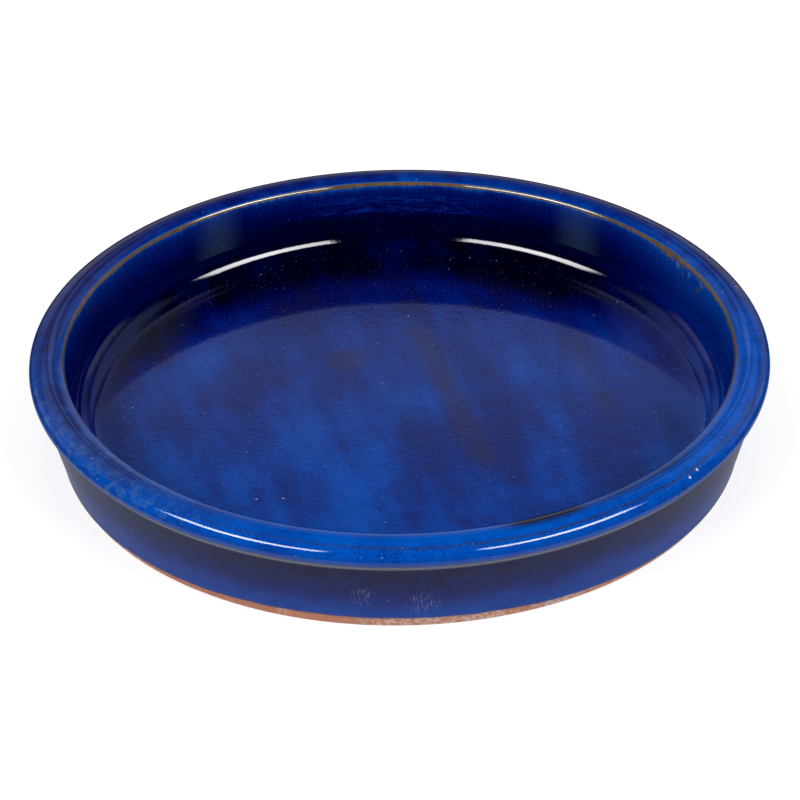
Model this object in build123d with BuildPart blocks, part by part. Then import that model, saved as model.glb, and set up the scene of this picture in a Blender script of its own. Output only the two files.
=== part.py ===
"""Round glazed plant saucer: a fired clay dish with a rolled rim, and its two coats of glaze.

The origin is the middle of the foot, on the surface that the saucer stands on, and Z points up.
Every piece is a body of revolution about Z, so each is a half section in the XZ plane, turned once.
The clay is drawn first, and both coats are an offset of its section, so they always fit it.
"""

import math
import os

from build123d import *

os.makedirs("parts", exist_ok=True)

# Overall sizes in millimetres, measured over the glaze
rim_diameter = 340.0
overall_height = 49.5

# Coats of glaze
glaze_thickness = 0.6
glaze_line_height = 4.8  # the clay is bare below this, all round the foot
glaze_edge_radius = 0.35  # rounded lower edge of the outer coat

# Bare line along the lip, where the glaze runs off the edge and the clay shows
break_line_width = 1.3
break_line_step = 0.15  # how far the clay stays below the coats beside it
break_line_angle = 152.0  # direction that the line faces, from +X towards +Z

# Foot and underside
foot_inset = 14.5  # from the rim's outer edge in to the foot's outer edge
foot_ring_width = 14.0
foot_recess_depth = 3.0
foot_edge_radius = 0.8
recess_corner_radius = 1.2

# Floor and wall, on the clay
floor_height = 11.9  # top of the floor above the table
wall_top_inset = 3.0  # from the rim's outer edge in to the wall's line, level with the roll's nose
inner_wall_draft = 2.1  # degrees that the inside of the wall leans outwards
cove_radius = 14.1  # wide round corner between the floor and the wall

# Rolled rim: its width over the glaze, and its radii on the clay
rim_width = 16.4  # from the rim's outer edge in to the lip
rim_nose_radius = 4.8  # outer edge of the roll
rim_crown_radius = 12.2  # gentler top of the roll
rim_join_angle = 60.0  # where the nose meets the crown, above the horizontal
rim_tuck_radius = 3.0  # hollow where the underside of the roll meets the wall
lip_radius = 2.0  # inner edge of the roll


def along(start, distance, angle):
    """The point that lies a distance from the start, at an angle in degrees above +X."""
    turn = math.radians(angle)
    return (start[0] + distance * math.cos(turn), start[1] + distance * math.sin(turn))


# Three tangent arcs make the roll: the nose, the crown and the lip. The coat outside them takes
# the saucer out to its diameter and up to its height.
rim_radius = rim_diameter / 2
nose_x = rim_radius - glaze_thickness - rim_nose_radius
crown_z = overall_height - glaze_thickness - rim_crown_radius
crown_x = nose_x - (rim_crown_radius - rim_nose_radius) * math.cos(math.radians(rim_join_angle))
crown_centre = (crown_x, crown_z)
nose_centre = along(crown_centre, rim_crown_radius - rim_nose_radius, rim_join_angle)
lip_x = rim_radius - rim_width + glaze_thickness + lip_radius
lip_z = crown_z + math.sqrt((rim_crown_radius - lip_radius) ** 2 - (lip_x - crown_x) ** 2)
lip_centre = (lip_x, lip_z)
crown_end_angle = math.degrees(math.atan2(lip_z - crown_z, lip_x - crown_x))
lip_end_angle = 180 - inner_wall_draft

# Corners of the dish before they are rounded
foot_edge = (rim_radius - foot_inset, 0)
ring_edge = (foot_edge[0] - foot_ring_width, 0)
recess_corner = (ring_edge[0], foot_recess_depth)
wall_top = (rim_radius - wall_top_inset, nose_centre[1])
tuck_corner = along(nose_centre, rim_nose_radius, -90)
lip_end = along(lip_centre, lip_radius, lip_end_angle)
wall_lean = (lip_end[1] - floor_height) * math.tan(math.radians(inner_wall_draft))
cove_corner = (lip_end[0] - wall_lean, floor_height)

with BuildSketch(Plane.XZ) as dish_section:
    # Floor and wall, filled up to the centres of the roll's arcs
    with BuildLine():
        Polyline(
            (0, foot_recess_depth),
            recess_corner,
            ring_edge,
            foot_edge,
            wall_top,
            nose_centre,
            crown_centre,
            lip_centre,
            lip_end,
            cove_corner,
            (0, floor_height),
            close=True,
        )
    make_face()
    # The roll, from its underside round to the inside of the lip
    with BuildLine():
        CenterArc(nose_centre, rim_nose_radius, -90, 90 + rim_join_angle)
        CenterArc(crown_centre, rim_crown_radius, rim_join_angle, crown_end_angle - rim_join_angle)
        CenterArc(lip_centre, lip_radius, crown_end_angle, lip_end_angle - crown_end_angle)
        Polyline(lip_end, lip_centre, crown_centre, nose_centre, tuck_corner)
    make_face()
    for corner, radius in (
        (tuck_corner, rim_tuck_radius),
        (cove_corner, cove_radius),
        (recess_corner, recess_corner_radius),
        (ring_edge, foot_edge_radius),
        (foot_edge, foot_edge_radius),
    ):
        fillet(dish_section.vertices().sort_by_distance(corner)[0], radius)

# Lines that part the coats: they run down the middle of the wall from the centre of the lip's arc,
# and outwards from there on each side of the bare line
coated_lip_radius = lip_radius + glaze_thickness
half_line_angle = math.degrees(break_line_width / 2 / coated_lip_radius)
reach = rim_width + glaze_thickness
inner_cut = along(lip_centre, reach, break_line_angle + half_line_angle)
outer_cut = along(lip_centre, reach, break_line_angle - half_line_angle)
mid_wall = (cove_corner[0] + foot_edge[0]) / 2
mid_floor = (floor_height + foot_recess_depth) / 2
beyond_rim = rim_radius + reach
above_rim = overall_height + reach

# The clay stands up between the coats along the bare line
with BuildSketch(Plane.XZ) as break_section:
    add(dish_section.sketch_local)
    offset(amount=glaze_thickness - break_line_step)
    with BuildLine():
        Polyline(lip_centre, outer_cut, inner_cut, close=True)
    make_face(mode=Mode.INTERSECT)

with BuildSketch(Plane.XZ) as clay_section:
    add(dish_section.sketch_local)
    add(break_section.sketch_local)

with BuildSketch(Plane.XZ) as coat_section:
    add(dish_section.sketch_local)
    offset(amount=glaze_thickness)
    add(clay_section.sketch_local, mode=Mode.SUBTRACT)

with BuildSketch(Plane.XZ) as inner_coat_section:
    add(coat_section.sketch_local)
    with BuildLine():
        Polyline(
            (0, mid_floor),
            (mid_wall, mid_floor),
            lip_centre,
            inner_cut,
            (0, above_rim),
            close=True,
        )
    make_face(mode=Mode.INTERSECT)

with BuildSketch(Plane.XZ) as outer_coat_section:
    add(coat_section.sketch_local)
    with BuildLine():
        Polyline(
            lip_centre,
            outer_cut,
            (lip_centre[0], above_rim),
            (beyond_rim, above_rim),
            (beyond_rim, glaze_line_height),
            (mid_wall, glaze_line_height),
            close=True,
        )
    make_face(mode=Mode.INTERSECT)
    lower_corners = outer_coat_section.vertices().group_by(Axis.Y)[0]
    fillet(lower_corners.sort_by(Axis.X)[-1], glaze_edge_radius)

# The fired clay dish
with BuildPart() as clay_body:
    add(clay_section.sketch)
    revolve(axis=Axis.Z)

# The coat on the floor and the inside of the wall
with BuildPart() as inner_glaze:
    add(inner_coat_section.sketch)
    revolve(axis=Axis.Z)

# The coat over the rim and down the outside of the wall
with BuildPart() as outer_glaze:
    add(outer_coat_section.sketch)
    revolve(axis=Axis.Z)

for name, piece in (
    ("clay_body", clay_body),
    ("inner_glaze", inner_glaze),
    ("outer_glaze", outer_glaze),
):
    piece.part.label = name
    export_step(piece.part, f"parts/{name}.step")
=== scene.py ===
"""Glazed plant saucer: a fired clay dish with a rolled rim, under two coats of cobalt glaze.

The clay and the coats are sections in the XZ plane, drawn with lines and arcs and turned round Z.
Lengths are in metres, and the origin is the middle of the foot, on the surface it stands on.
Directions round the saucer are in degrees from the front (-Y), and grow to the right (+X).
"""

import math

import bmesh
import bpy
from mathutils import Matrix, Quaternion, Vector, noise


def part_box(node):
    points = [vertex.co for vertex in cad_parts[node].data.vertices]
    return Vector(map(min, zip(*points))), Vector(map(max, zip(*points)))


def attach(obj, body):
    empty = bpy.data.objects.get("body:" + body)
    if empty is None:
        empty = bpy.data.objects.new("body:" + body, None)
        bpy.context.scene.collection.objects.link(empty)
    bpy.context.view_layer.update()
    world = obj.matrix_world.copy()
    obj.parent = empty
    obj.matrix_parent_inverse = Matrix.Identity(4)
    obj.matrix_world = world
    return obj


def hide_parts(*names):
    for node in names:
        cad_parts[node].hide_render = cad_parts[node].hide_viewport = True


bl_info = {
    "name": "Glazed Plant Saucer",
    "version": (1, 0, 0),
    "blender": (4, 5, 0),
    "location": "View3D > Sidebar > Saucer",
    "description": "Builds a round glazed plant saucer and a plain studio round it",
    "category": "Object",
}

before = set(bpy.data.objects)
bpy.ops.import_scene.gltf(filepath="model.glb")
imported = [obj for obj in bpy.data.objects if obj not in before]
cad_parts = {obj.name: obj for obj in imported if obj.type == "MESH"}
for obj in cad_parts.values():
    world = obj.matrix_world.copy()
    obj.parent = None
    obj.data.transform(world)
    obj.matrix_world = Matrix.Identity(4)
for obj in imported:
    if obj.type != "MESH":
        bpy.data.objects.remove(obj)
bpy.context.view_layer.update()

MM = 0.001
TURN = 2 * math.pi
PLUMB = math.pi / 2
BODY = "root"

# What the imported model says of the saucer's main sizes
OUTER_LOW, OUTER_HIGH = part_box("outer_glaze")
INNER_LOW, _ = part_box("inner_glaze")
RIM_RADIUS = min(OUTER_HIGH[0], OUTER_HIGH[1], -OUTER_LOW[0], -OUTER_LOW[1])

# Fineness of the meshes
WEDGES = 12
WEDGE_STEPS = 60
FINE_STEP = math.radians(5)
COARSE_STEP = math.radians(20)
SHARP_ANGLE = math.radians(50)
WELD = MM / 100

# Turn of the lip's arc that the rounded end of each coat takes up
END_TURN = 0.1

# The outer coat's lower edge is highest near the front and dips to the sides: mm and degrees
LINE_LOW = 1.5
LINE_RISE = 4.1
LINE_TOP_AT = -5
LINE_SPREAD = 45

# It wavers by noise of these scales and heights in mm, less and less up to a still level
WAVES = ((5, 0.45), (17, 0.3))
STILL_LEVEL = 22

# A soft bead lies just above it: mm
BEAD_DEPTH = 0.22
BEAD_ABOVE = 1.2
BEAD_WIDTH = 1.4

# Fineness of the runs in the glaze, and the radius that its upright sides are unrolled at
RUNS_ROUND = 150.0
RUNS_UP = 110.0
UNROLL_RADIUS = 0.16

GLAZE_COAT = {"IOR": 1.5, "Coat Weight": 0.3, "Coat Roughness": 0.02}
BLACK = (0, 0, 0)
WHITE = (1, 1, 1)

# The photograph's camera
CAMERA_AT = (0, -1.432, 0.916)
LOOK_AT = (0, 0, 0.0172)
LENS = 164
ROLL = math.radians(-0.8)


def amount(name, description, default, **settings):
    """A property that holds a number from 0 up."""
    words = {"name": name, "description": description}
    return bpy.props.FloatProperty(**words, default=default, min=0, **settings)


def length(name, description, default):
    """A property that holds a length in metres."""
    return amount(name, description, default, precision=5, subtype="DISTANCE", unit="LENGTH")


def angle(name, description, degrees):
    """A property that holds an angle, with its default given in degrees."""
    return amount(name, description, math.radians(degrees), subtype="ANGLE", unit="ROTATION")


def colour(name, description, default):
    """A property that holds a linear colour."""
    return bpy.props.FloatVectorProperty(
        name=name,
        description=description,
        default=default,
        size=3,
        min=0,
        subtype="COLOR",
    )


class SaucerShape(bpy.types.PropertyGroup):
    """Sizes of the clay dish and its coats"""

    rim_radius: length("Rim Radius", "Outside of the rolled rim, over the glaze", RIM_RADIUS)
    height: length("Height", "Top of the rim above the table", OUTER_HIGH[2])
    coat: length("Coat", "Thickness of the glaze", 0.0006)
    bite: length("Bite", "How far the hidden side of a coat lies inside the clay", 0.0003)
    glaze_line: length("Glaze Line", "Mean height of the outer coat's lower edge", OUTER_LOW[2])
    edge_radius: length("Edge Radius", "Rounding of the outer coat's lower edge", 0.00035)
    foot_inset: length("Foot Inset", "From the rim's outside in to the foot's outer edge", 0.0145)
    ring_width: length("Ring Width", "Width of the flat ring that the saucer stands on", 0.014)
    recess: length("Recess", "Height of the underside above the table", 0.003)
    foot_round: length("Foot Rounding", "Rounding of the edges of the foot", 0.0008)
    recess_round: length("Recess Rounding", "Rounding of the recess's corner", 0.0012)
    floor_height: length("Floor Height", "Top of the clay floor above the table", INNER_LOW[2])
    wall_inset: length("Wall Inset", "From the rim's outside in to the wall, at the roll", 0.003)
    draft: angle("Draft", "Outward lean of the inside of the wall", 2.1)
    cove_radius: length("Cove Radius", "Round corner between the floor and the wall", 0.0141)
    rim_width: length("Rim Width", "From the rim's outside in to the lip", 0.0164)
    nose_radius: length("Nose Radius", "Outer edge of the roll", 0.0048)
    crown_radius: length("Crown Radius", "Gentle top of the roll", 0.0122)
    join: angle("Join", "Where the nose meets the crown, above the horizontal", 60)
    tuck_radius: length("Tuck Radius", "Hollow where the roll meets the wall", 0.003)
    lip_radius: length("Lip Radius", "Inner edge of the roll", 0.002)
    break_width: length("Break Width", "Width of the line along the lip where clay shows", 0.0013)
    break_step: length("Break Step", "How far the clay stays below the coats there", 0.00015)
    break_angle: angle("Break Angle", "Direction that the line faces", 152)


class SaucerFinish(bpy.types.PropertyGroup):
    """Colours and gloss of the glaze and the clay"""

    scorched: colour("Scorched", "Clay seen through the last of the glaze", (0.185, 0.105, 0.045))
    teal: colour("Teal", "Glaze that has nearly run off an edge", (0.002, 0.042, 0.14))
    bright: colour("Bright", "Thin cobalt glaze", (0.0, 0.088, 0.50))
    cobalt: colour("Cobalt", "Cobalt glaze at its usual thickness", (0.0, 0.056, 0.36))
    royal: colour("Royal", "Cobalt glaze, rather thick", (0.0, 0.024, 0.23))
    deep: colour("Deep", "Cobalt glaze where it lies thick", (0.0, 0.007, 0.14))
    navy: colour("Navy", "Cobalt glaze where it lies very thick", (0.0, 0.0012, 0.062))
    pooled: colour("Pooled", "Cobalt glaze where it has pooled", (0.0, 0.0001, 0.006))
    purple: colour("Purple", "Cast of the thickest patches", (0.016, 0.012, 0.065))
    # Dust is also a painted reflection of the pale table in the hollow under the roll
    dust: colour("Dust", "Grey film in the hollow under the roll", (0.55, 0.55, 0.57))
    clay: colour("Clay", "Bare fired clay", (0.78, 0.30, 0.165))
    chalk: colour("Chalk", "Lime and dust on the bare clay", (0.88, 0.76, 0.68))
    roughness: amount("Roughness", "Roughness of the glaze", 0.05)


class SaucerStudio(bpy.types.PropertyGroup):
    """Floor, lamps and room"""

    floor_radius: length("Floor Radius", "Half the width of the floor", 8.0)
    floor_pale: colour("Pale Floor", "Floor as the camera sees it", (0.62, 0.62, 0.62))
    floor_grey: colour("Grey Floor", "Floor as the saucer sees it", (0.40, 0.42, 0.47))
    floor_lift: amount("Floor Lift", "White added to the floor for the camera alone", 0.6)
    sheet_radius: length("Sheet Radius", "How far out the glaze mirrors the floor", 0.2)
    ambient: amount("Ambient", "Strength of the even light from all round", 0.45)
    lamp_aside: angle("Lamps Aside", "Direction of the lamps, to both sides of the camera", 50)
    lamp_rise: angle("Lamp Rise", "Height of the lamps above the horizon", 39)
    lamp_distance: length("Lamp Distance", "From the saucer to a lamp's middle", 2.9)
    lamp_length: length("Lamp Length", "Length of each lamp's face", 2.2)
    lamp_width: length("Lamp Width", "Width of each lamp's face", 0.45)
    lamp_radiance: amount("Lamp Radiance", "Brightness of a lamp's face as it lights things", 12.5)
    glint: amount("Glint", "Brightness of a lamp's face as the glaze mirrors it", 16.0)
    side_glow: amount("Side Glow", "Brightness of the sides, mirrored from glaze to glaze", 1.0)


def polar(distance, turn):
    """The offset that lies a distance away in the XZ plane, at an angle above +X."""
    return Vector((distance * math.cos(turn), 0, distance * math.sin(turn)))


class Layout:
    """The centres and angles of the section's arcs, worked out from the saucer's sizes."""

    def __init__(self, shape):
        self.shape = shape
        coat = shape.coat
        spread = shape.crown_radius - shape.nose_radius
        nose_x = shape.rim_radius - coat - shape.nose_radius
        crown_x = nose_x - spread * math.cos(shape.join)
        crown_z = shape.height - coat - shape.crown_radius
        self.crown = Vector((crown_x, 0, crown_z))
        self.nose = self.crown + polar(spread, shape.join)
        lip_x = shape.rim_radius - shape.rim_width + coat + shape.lip_radius
        fall = math.sqrt((shape.crown_radius - shape.lip_radius) ** 2 - (lip_x - crown_x) ** 2)
        self.lip = Vector((lip_x, 0, crown_z + fall))
        self.crown_end = math.atan2(fall, lip_x - crown_x)
        self.lip_end = math.pi - shape.draft

        # Outside of the wall, from the foot up to the level of the nose
        self.foot = Vector((shape.rim_radius - shape.foot_inset, 0, 0))
        wall_top = Vector((shape.rim_radius - shape.wall_inset, 0, self.nose.z))
        self.wall_up = (wall_top - self.foot).normalized()
        self.wall_out = Vector((self.wall_up.z, 0, -self.wall_up.x))
        self.wall_angle = math.atan2(self.wall_out.z, self.wall_out.x)

        # The tuck's arc touches the wall and the nose from outside
        inside = (self.nose - self.foot).dot(self.wall_out)
        reach = shape.nose_radius + shape.tuck_radius
        self.tuck_angle = self.wall_angle - math.acos((shape.tuck_radius - inside) / reach)
        self.tuck = self.nose + polar(reach, self.tuck_angle)

        # The cove's arc touches the floor and the inside of the wall
        wall_in = Vector((-math.cos(shape.draft), 0, math.sin(shape.draft)))
        lip_foot = self.lip + polar(shape.lip_radius, self.lip_end)
        cove_z = shape.floor_height + shape.cove_radius
        gap = shape.cove_radius - (cove_z - lip_foot.z) * wall_in.z
        self.cove = Vector((lip_foot.x + gap / wall_in.x, 0, cove_z))
        self.half_break = shape.break_width / 2 / (shape.lip_radius + coat)

    def outer_arcs(self, offset, lip_start):
        """Arcs from the lip over the roll to the wall, at an offset from the clay."""
        shape = self.shape
        wall_side = self.wall_angle + math.pi
        return [
            (self.lip, shape.lip_radius + offset, lip_start, self.crown_end),
            (self.crown, shape.crown_radius + offset, self.crown_end, shape.join),
            (self.nose, shape.nose_radius + offset, shape.join, self.tuck_angle),
            (self.tuck, shape.tuck_radius - offset, self.tuck_angle + math.pi, wall_side),
        ]

    def inner_arcs(self, offset, lip_start):
        """Arcs from the lip down the inside of the wall, at an offset from the clay."""
        shape = self.shape
        return [
            (self.lip, shape.lip_radius + offset, lip_start, self.lip_end),
            (self.cove, shape.cove_radius - offset, -shape.draft, -PLUMB),
        ]


def turned_back(arcs):
    """The same arcs, drawn from the other end."""
    return [(centre, radius, end, start) for centre, radius, start, end in reversed(arcs)]


class Pen:
    """Draws a section in the XZ plane, one line or arc after another."""

    def __init__(self, mesh, start):
        self.mesh = mesh
        self.tip = bmesh.ops.create_vert(mesh, co=start)["vert"][0]

    def line(self, end, pieces=1):
        """A straight line from the tip, in equal pieces."""
        step = (end - self.tip.co) / pieces
        for _ in range(pieces):
            grown = bmesh.ops.extrude_vert_indiv(self.mesh, verts=[self.tip])
            self.tip = grown["verts"][0]
            bmesh.ops.translate(self.mesh, verts=[self.tip], vec=step)

    def arc(self, centre, turn, step):
        """An arc round a centre. It turns from +X towards +Z when the turn is positive."""
        pieces = max(1, math.ceil(abs(turn) / step))
        spun = bmesh.ops.spin(
            self.mesh, geom=[self.tip], cent=centre, axis=(0, -1, 0), angle=turn, steps=pieces
        )
        self.tip = next(item for item in spun["geom_last"] if isinstance(item, bmesh.types.BMVert))

    def arcs(self, arcs, step, pieces=1):
        """A chain of arcs, with a straight line wherever one doesn't start at the tip."""
        for centre, radius, start, end in arcs:
            first = centre + polar(radius, start)
            if (first - self.tip.co).length > WELD:
                self.line(first, pieces)
            self.arc(centre, end - start, step)

    def rounded(self, corner, towards, radius, step, pieces=1):
        """A line to a rounded corner, and the arc round it."""
        along = (corner - self.tip.co).normalized()
        away = (towards - corner).normalized()
        turn = math.atan2(along.x * away.z - along.z * away.x, along.dot(away))
        back = radius * math.tan(abs(turn) / 2)
        self.line(corner - along * back, pieces)
        side = Vector((-along.z, 0, along.x)) * math.copysign(radius, turn)
        self.arc(self.tip.co + side, turn, step)


def turn_round(mesh):
    """Spins a drawn section into one wedge round Z, repeats it, and closes seams and poles."""
    middle = {"cent": (0, 0, 0), "axis": (0, 0, 1)}
    bmesh.ops.remove_doubles(mesh, verts=mesh.verts, dist=WELD)
    drawn = mesh.verts[:] + mesh.edges[:]
    bmesh.ops.spin(mesh, geom=drawn, angle=TURN / WEDGES, steps=WEDGE_STEPS, **middle)
    bmesh.ops.spin(
        mesh,
        geom=mesh.verts[:] + mesh.edges[:] + mesh.faces[:],
        angle=TURN * (WEDGES - 1) / WEDGES,
        steps=WEDGES - 1,
        use_duplicate=True,
        **middle,
    )
    bmesh.ops.remove_doubles(mesh, verts=mesh.verts, dist=WELD)
    bmesh.ops.recalc_face_normals(mesh, faces=mesh.faces)


def azimuth(point):
    """Direction of a point round the saucer, in degrees."""
    return math.degrees(math.atan2(point.x, -point.y))


def outwards(point):
    """The level direction from the axis to a point."""
    return Vector((point.x, point.y, 0)).normalized()


def swell(distance, width):
    """A soft hump, 1 in the middle and nearly 0 two widths away."""
    return math.exp(-((distance / width) ** 2))


def make_piece(name, node, slot, draw, make_material, move=None):
    """Draws a section, turns it round, moves its points, and hands the piece to the frame."""
    scene = bpy.context.scene
    layout = Layout(scene.saucer_shape)
    mesh = bmesh.new()
    draw(mesh, layout)
    turn_round(mesh)
    if move:
        move(mesh, layout)
    data = bpy.data.meshes.new(name)
    mesh.to_mesh(data)
    mesh.free()
    data.shade_smooth()
    data.set_sharp_from_angle(angle=SHARP_ANGLE)
    data.materials.append(make_material(scene.saucer_shape, scene.saucer_finish))
    piece = bpy.data.objects.new(name, data)
    scene.collection.objects.link(piece)
    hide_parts(node)
    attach(piece, BODY)
    return {"FINISHED"}


def full(tint):
    """A colour with its alpha, or a socket as it is."""
    return tint if isinstance(tint, bpy.types.NodeSocket) else (*tint, 1.0)


class Mixer:
    """Adds nodes to a material, a group or the world, and joins them up."""

    def __init__(self, tree):
        self.tree = tree

    def feed(self, node, inputs):
        """Sets a node's inputs to numbers or colours, or links them to sockets."""
        for socket, value in inputs.items():
            if isinstance(value, bpy.types.NodeSocket):
                self.tree.links.new(value, node.inputs[socket])
            else:
                node.inputs[socket].default_value = value

    def add(self, kind, inputs=None, **settings):
        """A new shader node of a kind, with its settings and inputs."""
        node = self.tree.nodes.new(f"ShaderNode{kind}")
        for name, value in settings.items():
            setattr(node, name, value)
        self.feed(node, inputs or {})
        return node

    def use(self, name, *values):
        """The outputs of a shared group, whose inputs are given in their order."""
        group = self.add("Group", node_tree=shared_group(name))
        self.feed(group, dict(enumerate(values)))
        return group.outputs

    def sums(self, operation, *values):
        """The result of a Math node."""
        return self.add("Math", dict(enumerate(values)), operation=operation).outputs[0]

    def chain(self, operation, total, others):
        """Several numbers taken together by one operation, from the first to the last."""
        for value in others:
            total = self.sums(operation, total, value)
        return total

    def times(self, first, *others):
        return self.chain("MULTIPLY", first, others)

    def plus(self, first, *others):
        return self.chain("ADD", first, others)

    def largest(self, first, *others):
        return self.chain("MAXIMUM", first, others)

    def minus(self, first, second):
        return self.sums("SUBTRACT", first, second)

    def vary(self, value, mask, depth):
        """A value raised and lowered by half a depth, as a mask goes from 0 to 1."""
        return self.plus(value, self.times(self.minus(mask, 0.5), depth))

    def ramp(self, value, low, high, to_low=0, to_high=1, kind="LINEAR"):
        """A value carried over from one range to another, and held at its ends."""
        ends = {"From Min": low, "From Max": high, "To Min": to_low, "To Max": to_high}
        node = self.add("MapRange", {"Value": value, **ends}, interpolation_type=kind)
        return node.outputs["Result"]

    def soft(self, value, low, high, to_low=0, to_high=1):
        """The same, eased at both ends."""
        return self.ramp(value, low, high, to_low, to_high, "SMOOTHSTEP")

    def fade(self, value, low, high):
        """1 up to a low value, eased down to 0 at a high one."""
        return self.soft(value, low, high, 1, 0)

    def window(self, value, start, first, last, end):
        """1 from a first value to a last one, eased down to 0 outside them."""
        return self.times(self.soft(value, start, first), self.fade(value, last, end))

    def near(self, value, middle, inner, outer, strength=1, rest=0):
        """A strength within an inner distance of a middle, eased down to a rest at an outer one."""
        gap = self.sums("ABSOLUTE", self.minus(value, middle))
        return self.soft(gap, inner, outer, strength, rest)

    def blend(self, factor, first, second):
        """Two colours mixed by a factor."""
        inputs = {"Factor": factor, 6: full(first), 7: full(second)}
        return self.add("Mix", inputs, data_type="RGBA").outputs[2]

    def between(self, factor, first, second):
        """Two numbers mixed by a factor."""
        inputs = {"Factor": factor, 2: first, 3: second}
        return self.add("Mix", inputs, data_type="FLOAT").outputs[0]

    def vector(self, across=0, along=0, up=0):
        """A vector of three numbers."""
        return self.add("CombineXYZ", {0: across, 1: along, 2: up}).outputs[0]

    def vectors(self, operation, first, second):
        """The result of a Vector Math node."""
        inputs = {0: first, 1: second}
        return self.add("VectorMath", inputs, operation=operation).outputs[0]

    def size(self, vector):
        """The length of a vector."""
        return self.add("VectorMath", {0: vector}, operation="LENGTH").outputs["Value"]

    def curve(self, value, points):
        """A number looked up on a smooth curve through points."""
        node = self.add("FloatCurve", {"Value": value})
        line = node.mapping.curves[0].points
        line[0].location = points[0]
        line[1].location = points[-1]
        for point in points[1:-1]:
            line.new(*point)
        node.mapping.update()
        return node.outputs[0]

    def colours(self, value, stops):
        """A colour looked up on a ramp of positions and colours."""
        node = self.add("ValToRGB", {"Fac": value})
        elements = node.color_ramp.elements
        elements[0].position, elements[0].color = stops[0][0], full(stops[0][1])
        elements[1].position, elements[1].color = stops[-1][0], full(stops[-1][1])
        for position, rgb in stops[1:-1]:
            elements.new(position).color = full(rgb)
        return node.outputs["Color"]


NUMBER = "NodeSocketFloat"
ARROW = "NodeSocketVector"
COLOUR = "NodeSocketColor"


def new_group(name, inputs, outputs=None):
    """An empty shader node group with named sockets: its mixer, its inputs and its end."""
    group = bpy.data.node_groups.new(name, "ShaderNodeTree")
    for in_out, sockets in (("INPUT", inputs), ("OUTPUT", outputs or {"Mask": NUMBER})):
        for socket, kind in sockets.items():
            group.interface.new_socket(socket, in_out=in_out, socket_type=kind)
    entry = group.nodes.new("NodeGroupInput")
    leave = group.nodes.new("NodeGroupOutput")
    return Mixer(group), entry.outputs, leave


def place_group(name):
    """Where a point lies on the saucer, and two vectors that follow its walls."""
    outputs = {
        "Position": ARROW,
        "Radius": NUMBER,
        "Height": NUMBER,
        "Degrees": NUMBER,
        "Unrolled": ARROW,
        "Runs": ARROW,
    }
    group, _, leave = new_group(name, {}, outputs)
    where = group.add("TexCoord").outputs["Object"]
    parts = group.add("SeparateXYZ", {0: where}).outputs
    level = group.vector(parts["X"], parts["Y"])
    around = group.add("VectorMath", {0: level}, operation="NORMALIZE").outputs[0]
    turn = group.sums("ARCTAN2", parts["X"], group.times(parts["Y"], -1))
    wide = group.vectors("MULTIPLY", around, (RUNS_ROUND,) * 3)
    rise = group.vector(up=group.times(parts["Z"], RUNS_UP))
    found = {
        "Position": where,
        "Radius": group.size(level),
        "Height": parts["Z"],
        "Degrees": group.sums("DEGREES", turn),
        "Unrolled": group.vector(group.times(turn, UNROLL_RADIUS), parts["Z"]),
        "Runs": group.vectors("ADD", wide, rise),
    }
    group.feed(leave, found)


def ring_group(name):
    """A soft band along a circle round the axis, 1 in its middle."""
    inputs = ("Radius", "Height", "Ring Radius", "Ring Height", "Width")
    group, entry, leave = new_group(name, dict.fromkeys(inputs, NUMBER))
    out = group.minus(entry["Radius"], entry["Ring Radius"])
    up = group.minus(entry["Height"], entry["Ring Height"])
    gap = group.size(group.vector(out, up))
    group.feed(leave, {"Mask": group.fade(gap, 0, entry["Width"])})


def spot_group(name):
    """A round spot with a soft ragged edge."""
    inputs = {"Vector": ARROW, "Centre": ARROW, "Size": NUMBER, "Ragged": NUMBER}
    group, entry, leave = new_group(name, inputs)
    gap = group.size(group.vectors("SUBTRACT", entry["Vector"], entry["Centre"]))
    torn = {"Vector": entry["Vector"], "Scale": 900, "Detail": 3}
    rough = group.minus(group.add("TexNoise", torn).outputs[0], 0.5)
    reach = group.plus(gap, group.times(rough, entry["Ragged"], entry["Size"]))
    half = group.times(entry["Size"], 0.5)
    group.feed(leave, {"Mask": group.fade(reach, half, entry["Size"])})


def mottle_group(name):
    """Uneven cloudy patches, from 0 to 1."""
    inputs = {"Vector": ARROW, "Scale": NUMBER, "Detail": NUMBER, "Low": NUMBER, "High": NUMBER}
    group, entry, leave = new_group(name, inputs)
    kept = {socket: entry[socket] for socket in ("Vector", "Scale", "Detail")}
    cloud = group.add("TexNoise", {**kept, "Roughness": 0.6}).outputs[0]
    group.feed(leave, {"Mask": group.soft(cloud, entry["Low"], entry["High"])})


def specks_group(name):
    """Scattered round specks on a flat or unrolled surface, each of its own size."""
    inputs = {"Vector": ARROW, "Scale": NUMBER, "Size": NUMBER, "Share": NUMBER}
    group, entry, leave = new_group(name, inputs)
    grid = {"Vector": entry["Vector"], "Scale": entry["Scale"]}
    cells = group.add("TexVoronoi", grid, voronoi_dimensions="2D").outputs
    lot = group.add("SeparateColor", {0: cells["Color"]}).outputs
    chosen = group.sums("LESS_THAN", lot["Red"], entry["Share"])
    reach = group.times(entry["Size"], group.ramp(lot["Green"], 0, 1, 0.35, 1))
    dot = group.fade(cells["Distance"], 0, reach)
    strength = group.times(chosen, group.ramp(lot["Blue"], 0, 1, 0.35, 1))
    group.feed(leave, {"Mask": group.times(dot, strength)})


def cobalt_group(name):
    """The glaze's colour by how thick it lies, from run off at 0 to pooled at 1."""
    finish = bpy.context.scene.saucer_finish
    group, entry, leave = new_group(name, {"Thickness": NUMBER}, {"Color": COLOUR})
    stops = (
        (0, finish.scorched),
        (0.12, finish.teal),
        (0.28, finish.bright),
        (0.45, finish.cobalt),
        (0.60, finish.royal),
        (0.74, finish.deep),
        (0.87, finish.navy),
        (1, finish.pooled),
    )
    group.feed(leave, {"Color": group.colours(entry["Thickness"], stops)})


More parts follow.
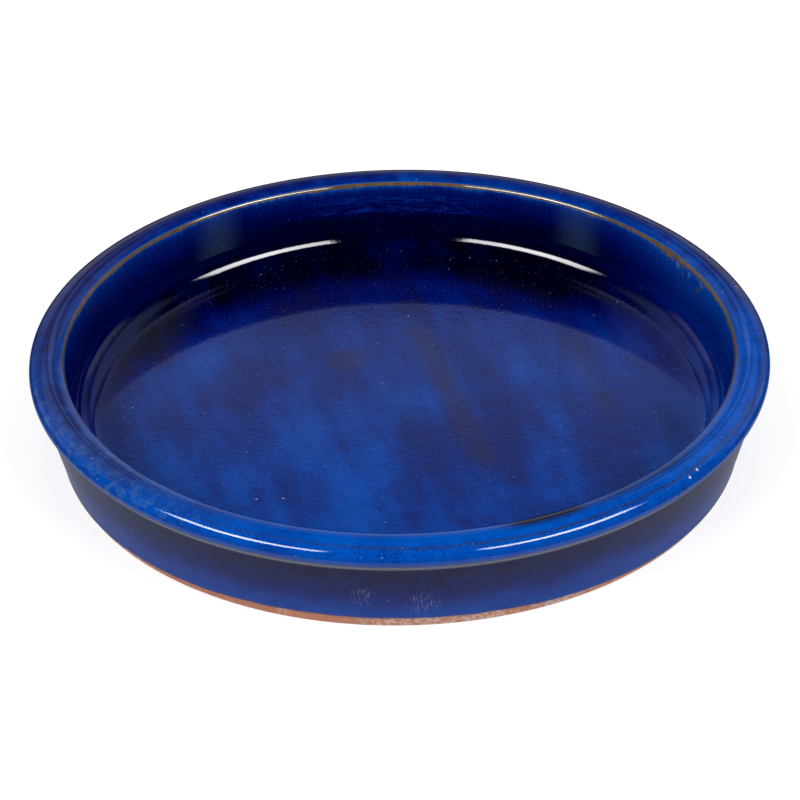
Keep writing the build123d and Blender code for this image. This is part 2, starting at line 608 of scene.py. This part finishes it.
GROUP_MAKERS = {
    "Place on Saucer": place_group,
    "Ring Band": ring_group,
    "Spot": spot_group,
    "Mottle": mottle_group,
    "Specks": specks_group,
    "Cobalt by Thickness": cobalt_group,
}


def shared_group(name):
    """A group that several materials use, made the first time it is asked for."""
    if name not in bpy.data.node_groups:
        GROUP_MAKERS[name](name)
    return bpy.data.node_groups[name]


def mottle(mix, vector, scale, detail=2, low=0.3, high=0.7):
    """Cloudy patches of about 1 / scale metres."""
    return mix.use("Mottle", vector, scale, detail, low, high)[0]


def specks(mix, vector, scale, size, share):
    """Specks in a share of the cells of a grid that has about 1 / scale metres per cell."""
    return mix.use("Specks", vector, scale, size, share)[0]


def spots(mix, place, ragged, *dots):
    """Spots on the saucer, each given by its place and its size in millimetres."""
    masks = []
    for x, y, z, size in dots:
        centre = Vector((x, y, z)) * MM
        masks.append(mix.use("Spot", place["Position"], centre, size * MM, ragged)[0])
    return mix.largest(*masks)


def ring(mix, place, radius, height, width):
    """A band round the saucer."""
    here = (place["Radius"], place["Height"])
    return mix.use("Ring Band", *here, radius, height, width)[0]


def new_material(name):
    """A new material, the mixer of its nodes, and its shader."""
    material = bpy.data.materials.new(name)
    material.use_nodes = True
    tree = material.node_tree
    return material, Mixer(tree), tree.nodes["Principled BSDF"]


def finish_shader(mix, shader, tint, rough, ripple, depth, others):
    """Feeds a shader its colour, its roughness, the ripple of its surface and other inputs."""
    bump = mix.add("Bump", {"Height": ripple, "Strength": 1, "Distance": depth})
    links = {"Base Color": tint, "Roughness": rough, "Normal": bump.outputs[0]}
    mix.feed(shader, {**links, **others})


def inside_glaze_material(shape, finish):
    """Cobalt glaze on the floor and the inside of the wall, pooled round the floor's edge."""
    material, mix, shader = new_material("pooled_cobalt_glaze")
    layout = Layout(shape)
    place = mix.use("Place on Saucer")
    where = place["Position"]
    height = place["Height"]
    degrees = place["Degrees"]
    floor_top = shape.floor_height + shape.coat
    floor_mm = floor_top / MM
    lip_top = layout.lip.z + shape.lip_radius

    # The wall's coat is thin and teal at the lip and pools towards the cove, with fine runs
    runs = mottle(mix, place["Runs"], 1, 3)
    clouds = mottle(mix, where, 40, 3)
    crumbs = mottle(mix, where, 700, 3)
    drop = mix.vary(mix.minus(lip_top, height), runs, 0.0016)
    drop = mix.vary(drop, clouds, 0.002)
    drop = mix.vary(drop, crumbs, mix.near(degrees, 117, 3, 13, 0.005))
    depths = (0, 0.03, 0.07, 0.14, 0.26, 0.45, 0.65, 1)
    coats = (0, 0.08, 0.56, 0.73, 0.8, 0.89, 0.955, 0.99)
    wall_thick = mix.curve(mix.times(drop, 1 / 0.03), tuple(zip(depths, coats)))
    turned = mix.sums("ABSOLUTE", degrees)
    wall_thick = mix.minus(wall_thick, mix.near(turned, 95, 20, 60, 0.12))
    wall_thick = mix.minus(wall_thick, mix.near(degrees, 92, 22, 50, 0.19))

    # Painted reflection: the coat is drawn thinner and paler in level strokes along two heights at
    # the back of the wall
    painted_reflection_strokes = mix.largest(
        mix.near(height, 0.0385, 0.001, 0.0035, 0.16),
        mix.near(height, 0.0335, 0.0006, 0.003, 0.24),
    )
    level = mix.add("Mapping", {"Vector": where, "Scale": (150, 1, 800)}).outputs[0]
    broken = mottle(mix, level, 1, 3, 0.42, 0.58)
    painted_reflection_strokes = mix.times(painted_reflection_strokes, mix.soft(turned, 156, 172), broken)
    wall_thick = mix.minus(wall_thick, painted_reflection_strokes)

    # The floor's coat lies in long soft bands, and grows thicker and darker from the front to the
    # back: a painted reflection of the dark back wall, which the floor mirrors there
    parts = mix.add("SeparateXYZ", {0: where}).outputs
    floor_thick_and_painted_reflection = mix.ramp(parts["Y"], -0.12, 0.1, 0.5, 0.73)
    # Painted reflection: a further dark strip along the back of the floor
    floor_thick_and_painted_reflection = mix.plus(floor_thick_and_painted_reflection, mix.soft(parts["Y"], 0.05, 0.11, 0, 0.09))
    slanted = mix.add(
        "Mapping",
        {"Vector": where, "Rotation": (0, 0, math.radians(14)), "Scale": (0.028, 0.11, 1)},
        vector_type="TEXTURE",
    ).outputs[0]
    bands = mottle(mix, slanted, 1, 3, 0.36, 0.64)
    patches = mottle(mix, where, 26, 4)
    grain = mottle(mix, where, 1200, 2, 0.25, 0.75)
    floor_thick_and_painted_reflection = mix.vary(floor_thick_and_painted_reflection, bands, 0.13)
    floor_thick_and_painted_reflection = mix.vary(floor_thick_and_painted_reflection, patches, 0.12)
    pool = mix.soft(place["Radius"], layout.cove.x - 0.03, layout.cove.x - 0.002)
    depth = mix.soft(turned, 70, 120, 0.06, 0.19)
    depth = mix.minus(depth, mix.near(degrees, 92, 30, 60, 0.1))
    floor_thick_and_painted_reflection = mix.plus(floor_thick_and_painted_reflection, mix.times(pool, depth))
    up_wall = mix.soft(height, floor_top + 0.0015, floor_top + 0.01)
    thick = mix.vary(mix.between(up_wall, floor_thick_and_painted_reflection, wall_thick), grain, 0.17)
    tint = mix.use("Cobalt by Thickness", thick)[0]

    # The thickest bands of the floor have a purple cast, and so do a blotch and two streaks
    flat = mix.fade(height, floor_top + 0.001, floor_top + 0.004)
    blotch = spots(mix, place, 0.5, (-24, 44, floor_mm, 13))
    cast = mix.plus(mix.times(bands, patches, 0.4), mix.times(blotch, 0.5))
    across = mix.plus(mix.times(parts["X"], 0.97), mix.times(parts["Y"], 0.243))
    for offset, middle, half, strength in ((26, 16, 74, 0.62), (93, 22, 42, 0.4)):
        streak = mix.near(across, offset * MM, 0.001, 0.01, strength)
        stretch = mix.near(parts["Y"], middle * MM, half * MM * 0.7, half * MM)
        cast = mix.plus(cast, mix.times(streak, stretch))
    cast = mix.times(cast, mix.minus(1, pool), flat)
    tint = mix.blend(cast, tint, finish.purple)

    # Pale dust and pinholes lie on the floor, and a few on the wall
    dust = mix.times(specks(mix, where, 330, 0.13, 0.4), 0.28)
    holes = mix.times(specks(mix, where, 85, 0.055, 0.4), 0.5)
    on_floor = mix.times(mix.plus(dust, holes), flat)
    on_wall = mix.times(specks(mix, place["Unrolled"], 150, 0.06, 0.3), 0.3, up_wall)
    centres = ((4.6, 83.8), (-124.6, 4.2), (-64.8, -74.2), (-52.8, -73.8))
    pinholes = spots(mix, place, 1, *((x, y, floor_mm, 0.6) for x, y in centres))
    marks = mix.largest(on_floor, on_wall, mix.times(pinholes, 0.6))
    tint = mix.blend(marks, tint, (0.5, 0.48, 0.55))

    # Lumps stand under the lip on the right, tinted pale blue as painted highlights, and brown
    # drips hang below them
    lump_places = ((133.6, 75.6, 43.6, 2.2), (138.4, 66.6, 43.4, 2), (143.2, 55.4, 43.8, 2.4))
    lumps_and_painted_highlights = spots(mix, place, 0.9, *lump_places)
    tint = mix.blend(mix.times(lumps_and_painted_highlights, 0.4), tint, (0.12, 0.24, 0.52))
    drips = spots(mix, place, 0.6, (135.6, 71.9, 40.5, 1.3), (141.6, 58.9, 39.5, 1.7))
    tint = mix.blend(mix.times(drips, 0.8), tint, (0.11, 0.05, 0.02))

    ripple = mottle(mix, where, 380, 2, 0, 1)
    ripple = mix.plus(ripple, mix.times(mix.plus(drips, lumps_and_painted_highlights), 8))
    rough = mix.between(bands, finish.roughness, finish.roughness + 0.03)
    finish_shader(mix, shader, tint, rough, ripple, 0.00002, GLAZE_COAT)
    return material


def outside_glaze_material(shape, finish):
    """Cobalt glaze over the roll and down the outside of the wall."""
    material, mix, shader = new_material("dipped_cobalt_glaze")
    layout = Layout(shape)
    place = mix.use("Place on Saucer")
    where = place["Position"]
    height = place["Height"]
    degrees = place["Degrees"]
    turned = mix.sums("ABSOLUTE", degrees)
    freckles = mottle(mix, where, 1300, 2, 0.47, 0.66)
    blooms = mottle(mix, where, 160, 4)
    clouds = mottle(mix, where, 42, 4)

    # The roll's coat is thin and bright in front, thicker at the back and on the left
    rim_thick = mix.soft(turned, 55, 150, 0.33, 0.56)
    rim_thick = mix.plus(rim_thick, mix.soft(degrees, -95, -50, 0.1, 0))
    rim_thick = mix.vary(rim_thick, clouds, 0.14)
    rim_thick = mix.vary(rim_thick, blooms, 0.1)
    ridge = layout.crown + polar(shape.crown_radius + shape.coat, shape.join)
    outer = mix.soft(place["Radius"], ridge.x - 0.004, ridge.x, 0.07, 0.22)
    rim_thick = mix.plus(rim_thick, mix.times(freckles, outer))

    # The wall's coat is pooled under the roll, and thins towards the foot
    up = mix.times(mix.vary(height, clouds, 0.004), 1 / 0.035)
    wall_thick = mix.curve(up, ((0, 0.42), (0.17, 0.46), (0.35, 0.54), (0.63, 0.79), (1, 0.92)))
    wall_thick = mix.vary(wall_thick, blooms, 0.05)
    wall_thick = mix.vary(wall_thick, freckles, 0.06)
    on_roll = mix.soft(height, layout.nose.z - 0.0058, layout.nose.z - 0.0032)
    thick = mix.between(on_roll, wall_thick, rim_thick)

    # It has run thin along the lip
    lip_line = layout.lip + polar(shape.lip_radius + shape.coat, shape.break_angle)
    lip_band = ring(mix, place, lip_line.x, lip_line.z, 0.0027)
    thick = mix.times(thick, mix.fade(lip_band, 0.2, 0.8))
    tint = mix.use("Cobalt by Thickness", thick)[0]

    # A dark band lies along the top of the roll, from the left over the back to the right
    near_radius = layout.crown.x + 0.0002
    far_radius = layout.crown.x + 0.0036
    band_radius = mix.largest(
        mix.soft(degrees, 60, 92, near_radius, far_radius),
        mix.soft(degrees, -150, -110, far_radius, near_radius),
    )
    band = ring(mix, place, band_radius, shape.height - 0.0006, 0.0088)
    on_left = mix.soft(degrees, -60, -12, 0.9, 0)
    on_right = mix.soft(degrees, 94, 114, 0, 0.9)
    band = mix.times(band, mix.largest(on_left, on_right), mix.between(clouds, 0.75, 1))
    tint = mix.blend(band, tint, finish.purple)

    # The coat is pooled on the inner slope of the roll at the front right
    inner_slope = ring(mix, place, layout.crown.x - 0.0026, shape.height - 0.0004, 0.0062)
    pools = mix.near(degrees, 23, 3, 10, 1.2)
    pools = mix.largest(pools, mix.near(degrees, 42, 6, 20, 0.6))
    tint = mix.blend(mix.times(inner_slope, pools), tint, (0.006, 0.006, 0.035))

    # Pale frosting on the roll at the front left
    coarse = mottle(mix, where, 230, 3, 0.44, 0.64)
    fine = mottle(mix, where, 1500, 2, 0.38, 0.62)
    at_left = mix.near(degrees, -58, 10, 34, 0.7)
    frost = mix.times(coarse, fine, on_roll, mix.minus(1, band), at_left)
    tint = mix.blend(frost, tint, (0.08, 0.18, 0.33))

    # A broken line runs along the ridge: faint on the left, dark in front and grey on the right
    wander = mottle(mix, where, 14, 2, 0.2, 0.8)
    ridge_radius = mix.vary(ridge.x - 0.0007, wander, 0.0018)
    line = ring(mix, place, ridge_radius, ridge.z + 0.0002, 0.0015)
    crumbs = mottle(mix, where, 1700, 4, 0.42, 0.58)
    line = mix.times(line, crumbs, mix.soft(degrees, -60, 20, 0.3, 1))
    worn = mix.soft(degrees, 40, 85)
    worn = mix.blend(worn, (0.022, 0.024, 0.03), (0.07, 0.075, 0.09))
    tint = mix.blend(line, tint, worn)

    # Pale specks, two pinholes and a rusty speck on the roll
    pale = mix.times(specks(mix, place["Unrolled"], 110, 0.06, 0.3), 0.45)
    pinholes = spots(mix, place, 0.2, (128.6, -108.1, 47.3, 0.9), (125.2, -113.1, 46.6, 0.9))
    tint = mix.blend(mix.largest(pale, pinholes), tint, (0.62, 0.58, 0.62))
    rust = spots(mix, place, 1, (158.7, 46, 48.7, 1.2))
    tint = mix.blend(rust, tint, (0.3, 0.14, 0.04))

    # A grey film lies in the hollow under the roll: partly dust, and partly a painted reflection of
    # the pale table, which the hollow mirrors at a grazing angle
    film_and_reflection = ring(mix, place, layout.tuck.x - 0.0014, layout.tuck.z + 0.0006, 0.0019)
    tint = mix.blend(mix.times(film_and_reflection, 0.85), tint, finish.dust)

    # Chalk is rubbed on the wall in front, and the coat is chipped on the left
    rubbed = spots(mix, place, 1.6, (-17, -160.5, 18.5, 7), (9, -160.4, 14.5, 8))
    smears = mottle(mix, place["Runs"], 2.2, 4, 0.5, 0.72)
    tint = mix.blend(mix.times(rubbed, smears, 0.5), tint, (0.42, 0.38, 0.46))
    chip = spots(mix, place, 0.6, (-118, -111.6, 21, 1.4))
    tint = mix.blend(mix.times(chip, 0.7), tint, (0.06, 0.14, 0.55))

    # Its lower edge is drawn out thin and pale
    across = mix.times(mix.minus(degrees, LINE_TOP_AT), 1 / LINE_SPREAD)
    hump = mix.sums("EXPONENT", mix.times(across, across, -1))
    edge = mix.ramp(hump, 0, 1, LINE_LOW * MM, (LINE_LOW + LINE_RISE) * MM)
    hem = mix.soft(mix.minus(height, edge), 0, 0.0026, 0.5, 0)
    tint = mix.blend(hem, tint, (0.03, 0.075, 0.34))

    ripple = mottle(mix, where, 160, 2, 0, 1)
    rough = mix.between(clouds, finish.roughness, finish.roughness + 0.04)
    finish_shader(mix, shader, tint, rough, ripple, 0.000012, GLAZE_COAT)
    return material


def clay_material(shape, finish):
    """Bare fired clay, with chalky patches, scorched and glassy along the lip."""
    material, mix, shader = new_material("fired_clay")
    place = mix.use("Place on Saucer")
    where = place["Position"]
    clouds = mottle(mix, where, 60, 5)
    grit = mottle(mix, where, 1400, 3)
    tint = mix.blend(mix.times(clouds, 0.35), finish.clay, (0.4, 0.15, 0.08))
    tint = mix.blend(mix.times(grit, 0.3), tint, (0.62, 0.36, 0.25))

    # Chalk lies in ragged patches, and most of it in front
    in_front = mix.near(place["Degrees"], 6, 8, 18, 0.75)
    patches = mix.largest(mottle(mix, where, 45, 6, 0.5, 0.68), in_front)
    flecks = mottle(mix, where, 520, 5, 0.42, 0.58)
    tint = mix.blend(mix.times(patches, flecks, 0.85), tint, finish.chalk)

    # The line along the lip is scorched, and glassy from the glaze that ran off it
    at_lip = mix.soft(place["Height"], shape.height - 0.012, shape.height - 0.01)
    burns = mottle(mix, where, 260, 3)
    burnt = mix.blend(burns, finish.scorched, (0.09, 0.065, 0.045))
    tint = mix.blend(at_lip, tint, burnt)
    rough = mix.between(at_lip, 0.85, 0.06)
    grains = mix.times(grit, mix.minus(1, at_lip))
    finish_shader(mix, shader, tint, rough, grains, 0.00012, {"Coat Weight": at_lip})
    return material


def draw_clay(mesh, layout):
    """The clay's section, from the middle of the underside round to the middle of the floor."""
    shape = layout.shape
    ring_edge = layout.foot - Vector((shape.ring_width, 0, 0))
    recess_corner = ring_edge + Vector((0, 0, shape.recess))
    wall_top = layout.foot + layout.wall_up * shape.height
    pen = Pen(mesh, Vector((0, 0, shape.recess)))
    pen.rounded(recess_corner, ring_edge, shape.recess_round, FINE_STEP * 3, 24)
    pen.rounded(ring_edge, layout.foot, shape.foot_round, FINE_STEP * 3)
    pen.rounded(layout.foot, wall_top, shape.foot_round, FINE_STEP * 2, 10)
    pen.line(layout.foot + layout.wall_up * 0.008, 8)
    low_lip = shape.break_angle - layout.half_break
    high_lip = shape.break_angle + layout.half_break
    pen.arcs(turned_back(layout.outer_arcs(0, low_lip)), COARSE_STEP, 2)
    stand = shape.lip_radius + shape.coat - shape.break_step
    pen.arcs([(layout.lip, stand, low_lip, high_lip)], FINE_STEP)
    pen.arcs(layout.inner_arcs(0, high_lip), COARSE_STEP, 2)
    pen.line(Vector((0, 0, shape.floor_height)), 12)


def round_end(pen, layout, start, turn):
    """The rounded end of a coat, beside the bare line along the lip."""
    shape = layout.shape
    radius = shape.lip_radius + shape.coat
    edge, beyond = (layout.lip + polar(radius, angle) for angle in (start, start + turn))
    pen.rounded(edge, beyond, shape.coat / 4, FINE_STEP * 4)


def draw_inside_coat(mesh, layout):
    """The inside coat's section: its hidden side, and back along the side that shows."""
    shape = layout.shape
    start = shape.break_angle + layout.half_break
    hidden = turned_back(layout.inner_arcs(-shape.bite, start))
    pen = Pen(mesh, Vector((0, 0, shape.floor_height - shape.bite)))
    pen.arcs(hidden[:1], COARSE_STEP, 12)
    pen.arcs(hidden[1:], COARSE_STEP, 2)
    round_end(pen, layout, start, END_TURN)
    shown = layout.inner_arcs(shape.coat, start + END_TURN)
    pen.arcs(shown[:1], FINE_STEP)
    pen.arcs(shown[1:], FINE_STEP / 1.5, 14)
    pen.line(Vector((0, 0, shape.floor_height + shape.coat)), 48)


def draw_outside_coat(mesh, layout):
    """The outside coat's section: its hidden side, and back along the side that shows."""
    shape = layout.shape
    start = shape.break_angle - layout.half_break
    hidden = turned_back(layout.outer_arcs(-shape.bite, start))
    line_rise = layout.wall_up * (shape.glaze_line / layout.wall_up.z)
    low_hidden = layout.foot + line_rise - layout.wall_out * shape.bite
    low_shown = layout.foot + line_rise + layout.wall_out * shape.coat
    pen = Pen(mesh, low_hidden)
    pen.arcs(hidden[:1], COARSE_STEP, 14)
    pen.arcs(hidden[1:], COARSE_STEP)
    round_end(pen, layout, start, -END_TURN)
    pen.arcs(layout.outer_arcs(shape.coat, start - END_TURN), FINE_STEP)
    pen.line(low_shown + layout.wall_up * 0.012, 10)
    pen.rounded(low_shown, low_hidden, shape.edge_radius, FINE_STEP * 3, 12)
    pen.line(low_hidden)


def line_height(point):
    """Height of the glaze line at a point's direction, with a slight waver."""
    hump = swell(azimuth(point) - LINE_TOP_AT, LINE_SPREAD)
    around = outwards(point)
    waver = sum(height * noise.noise(around * scale) for scale, height in WAVES)
    return (LINE_LOW + LINE_RISE * hump + waver) * MM


def move_glaze_line(mesh, layout):
    """Lets the outer coat's lower edge waver round the foot, with a soft bead along it."""
    shape = layout.shape
    still = STILL_LEVEL * MM
    for point in mesh.verts:
        if point.co.z > still:
            continue
        out = outwards(point.co)
        up = out * layout.wall_up.x + Vector((0, 0, layout.wall_up.z))
        normal = out * layout.wall_out.x + Vector((0, 0, layout.wall_out.z))
        section = Vector((math.hypot(point.co.x, point.co.y), 0, point.co.z))
        if (section - layout.foot).dot(layout.wall_out) > 0:
            above = point.co.z - shape.glaze_line - BEAD_ABOVE * MM
            point.co += normal * (swell(above, BEAD_WIDTH * MM) * BEAD_DEPTH * MM)
        hold = min(1, (still - point.co.z) / (still - shape.glaze_line))
        rise = (line_height(point.co) - shape.glaze_line) * hold
        point.co += up * (rise / layout.wall_up.z)


class SAUCER_OT_clay_dish(bpy.types.Operator):
    """Make the fired clay dish"""

    bl_idname = "saucer.clay_dish"
    bl_label = "Clay Dish"

    def execute(self, context):
        return make_piece("fired_dish", "clay_body", "terracotta", draw_clay, clay_material)


class SAUCER_OT_inside_glaze(bpy.types.Operator):
    """Make the coat on the floor and the inside of the wall"""

    bl_idname = "saucer.inside_glaze"
    bl_label = "Inside Glaze"

    def execute(self, context):
        drawn = (draw_inside_coat, inside_glaze_material)
        return make_piece("inside_coat", "inner_glaze", "blue_glaze", *drawn)


class SAUCER_OT_outside_glaze(bpy.types.Operator):
    """Make the coat over the roll and the outside of the wall"""

    bl_idname = "saucer.outside_glaze"
    bl_label = "Outside Glaze"

    def execute(self, context):
        drawn = (draw_outside_coat, outside_glaze_material, move_glaze_line)
        return make_piece("outside_coat", "outer_glaze", "blue_glaze", *drawn)


def lay_floor(studio):
    """A wide pale floor that keeps the saucer's shadow."""
    mesh = bmesh.new()
    bmesh.ops.create_circle(mesh, cap_ends=True, segments=96, radius=studio.floor_radius)
    bmesh.ops.translate(mesh, verts=mesh.verts, vec=(0, 0, -MM / 10))
    data = bpy.data.meshes.new("floor")
    mesh.to_mesh(data)
    mesh.free()
    material, mix, shader = new_material("pale_floor")
    path = mix.add("LightPath").outputs
    camera_ray = path["Is Camera Ray"]
    where = mix.add("TexCoord").outputs["Object"]
    edge = studio.sheet_radius
    near = mix.soft(mix.size(where), edge, edge + 0.03, 1, 0.05)
    sheet = mix.blend(near, BLACK, studio.floor_grey)
    tint = mix.blend(path["Is Glossy Ray"], studio.floor_grey, sheet)
    tint = mix.blend(camera_ray, tint, studio.floor_pale)
    lift = mix.blend(camera_ray, BLACK, WHITE)
    mix.feed(shader, {"Base Color": tint, "Roughness": 1, "Specular IOR Level": 0})
    mix.feed(shader, {"Emission Color": lift, "Emission Strength": studio.floor_lift})
    data.materials.append(material)
    floor = bpy.data.objects.new("floor", data)
    bpy.context.scene.collection.objects.link(floor)


def hang_lamp(studio, name, side):
    """A long soft lamp in front and to one side. The glaze mirrors the room's lamps instead."""
    turn = side * studio.lamp_aside
    level = math.cos(studio.lamp_rise)
    way = Vector((math.sin(turn) * level, -math.cos(turn) * level, math.sin(studio.lamp_rise)))
    light = bpy.data.lights.new(name, "AREA")
    light.shape = "RECTANGLE"
    light.size = studio.lamp_length
    light.size_y = studio.lamp_width
    light.energy = studio.lamp_radiance * math.pi * light.size * light.size_y
    lamp = bpy.data.objects.new(name, light)
    lamp.location = way * studio.lamp_distance
    lamp.rotation_mode = "QUATERNION"
    lamp.rotation_quaternion = (-way).to_track_quat("-Z", "Y")
    lamp.visible_glossy = False
    lamp.visible_camera = False
    bpy.context.scene.collection.objects.link(lamp)


def light_room(studio):
    """White to the camera, even to the clay, and to the glaze a dim room with two long lamps."""
    world = bpy.data.worlds.new("studio")
    bpy.context.scene.world = world
    world.use_nodes = True
    mix = Mixer(world.node_tree)
    path = mix.add("LightPath").outputs
    way = mix.add("TexCoord").outputs["Generated"]
    parts = mix.add("SeparateXYZ", {0: way}).outputs
    turn = mix.sums("ARCTAN2", parts["X"], mix.times(parts["Y"], -1))
    aside = mix.sums("ABSOLUTE", mix.sums("DEGREES", turn))
    rise = mix.sums("DEGREES", mix.sums("ARCSINE", parts["Z"]))

    # A pale wall stands low down behind and beside the saucer, and is dimmer in between
    low_wall = mix.times(mix.soft(rise, 17, 27, 0.27, 0.03), mix.fade(rise, 30, 45))
    beside = mix.soft(aside, 133, 142, 1.15, 0.4)
    behind = mix.soft(aside, 150, 164, 0.4, 1)
    reach = mix.soft(aside, 104, 116)
    low_wall = mix.times(low_wall, reach, mix.largest(beside, behind))

    # Above it stands a bluish wall, which ends before the back, where a bright patch takes over
    high_wall = mix.times(mix.window(rise, 25, 31, 42, 52), 0.24)
    high_wall = mix.times(high_wall, mix.window(aside, 92, 118, 160, 173))
    high_wall = mix.blend(high_wall, BLACK, (0.75, 1, 1.6))
    patch_colours = (
        (30.3, (0, 0, 0)),
        (30.8, (0.29, 0.42, 0.85)),
        (32.2, (0.19, 0.27, 0.45)),
        (33, (0.1, 0.16, 0.27)),
        (33.7, (0.055, 0.1, 0.19)),
        (35, (0.03, 0.05, 0.08)),
        (38, (0, 0, 0)),
    )
    stops = [(degrees / 90, rgb) for degrees, rgb in patch_colours]
    patch = mix.colours(mix.times(rise, 1 / 90), stops)
    patch = mix.vectors("MULTIPLY", patch, mix.soft(aside, 171, 175.5))

    # Two long lamps, which glaze mirrors in the room but not in other glaze
    lamps = mix.window(rise, 28, 32, 41, 45)
    lamps = mix.times(lamps, mix.window(aside, 23, 27, 74, 82), studio.glint)
    lamps = mix.times(lamps, mix.near(aside, 52, 2, 26, 1, 0.75))
    once = mix.vectors("ADD", patch, mix.plus(low_wall, lamps))
    once = mix.vectors("ADD", once, high_wall)

    # Mirrored from glaze to glaze: pale sides, and two dim patches low in front
    sides = mix.window(rise, 28, 33, 50, 62)
    sides = mix.times(sides, mix.soft(aside, 74, 98), studio.side_glow)
    low = mix.times(mix.near(rise, 25.5, 1.5, 4), mix.near(aside, 66, 0, 12))
    low = mix.blend(low, BLACK, (1, 2.1, 3.2))
    twice = mix.vectors("ADD", patch, mix.vectors("ADD", low, sides))

    deep = mix.sums("GREATER_THAN", path["Ray Depth"], 2.5)
    mirrored = mix.blend(deep, once, twice)
    seen = mix.blend(path["Is Glossy Ray"], (studio.ambient,) * 3, mirrored)
    seen = mix.blend(path["Is Camera Ray"], seen, WHITE)
    mix.feed(world.node_tree.nodes["Background"], {"Color": seen})


def set_camera():
    """A long lens at the photograph's viewing angle, turned slightly about its own axis."""
    data = bpy.data.cameras.new("camera")
    data.sensor_width = 36
    data.lens = LENS
    data.clip_end = 100
    camera = bpy.data.objects.new("camera", data)
    camera.location = CAMERA_AT
    look = (Vector(LOOK_AT) - camera.location).to_track_quat("-Z", "Y")
    camera.rotation_mode = "QUATERNION"
    camera.rotation_quaternion = look @ Quaternion((0, 0, 1), ROLL)
    bpy.context.scene.collection.objects.link(camera)
    bpy.context.scene.camera = camera


class SAUCER_OT_stage(bpy.types.Operator):
    """Set the floor, the lamps, the room and the camera"""

    bl_idname = "saucer.stage"
    bl_label = "Stage"

    def execute(self, context):
        studio = context.scene.saucer_studio
        lay_floor(studio)
        hang_lamp(studio, "lamp_left", -1)
        hang_lamp(studio, "lamp_right", 1)
        light_room(studio)
        set_camera()
        context.scene.view_settings.view_transform = "Standard"
        return {"FINISHED"}


class SAUCER_PT_panel(bpy.types.Panel):
    """Lists the saucer's pieces and the stage"""

    bl_idname = "SAUCER_PT_panel"
    bl_label = "Plant Saucer"
    bl_space_type = "VIEW_3D"
    bl_region_type = "UI"
    bl_category = "Saucer"

    def draw(self, context):
        for operator in OPERATORS:
            self.layout.operator(operator.bl_idname)


GROUPS = (SaucerShape, SaucerFinish, SaucerStudio)
OPERATORS = (
    SAUCER_OT_clay_dish,
    SAUCER_OT_inside_glaze,
    SAUCER_OT_outside_glaze,
    SAUCER_OT_stage,
)


def register():
    for item in (*GROUPS, *OPERATORS, SAUCER_PT_panel):
        bpy.utils.register_class(item)
    bpy.types.Scene.saucer_shape = bpy.props.PointerProperty(type=SaucerShape)
    bpy.types.Scene.saucer_finish = bpy.props.PointerProperty(type=SaucerFinish)
    bpy.types.Scene.saucer_studio = bpy.props.PointerProperty(type=SaucerStudio)


def unregister():
    del bpy.types.Scene.saucer_studio
    del bpy.types.Scene.saucer_finish
    del bpy.types.Scene.saucer_shape
    for item in reversed((*GROUPS, *OPERATORS, SAUCER_PT_panel)):
        bpy.utils.unregister_class(item)


def main():
    register()
    bpy.ops.saucer.clay_dish()
    bpy.ops.saucer.inside_glaze()
    bpy.ops.saucer.outside_glaze()
    bpy.ops.saucer.stage()


if __name__ == "__main__":
    main()
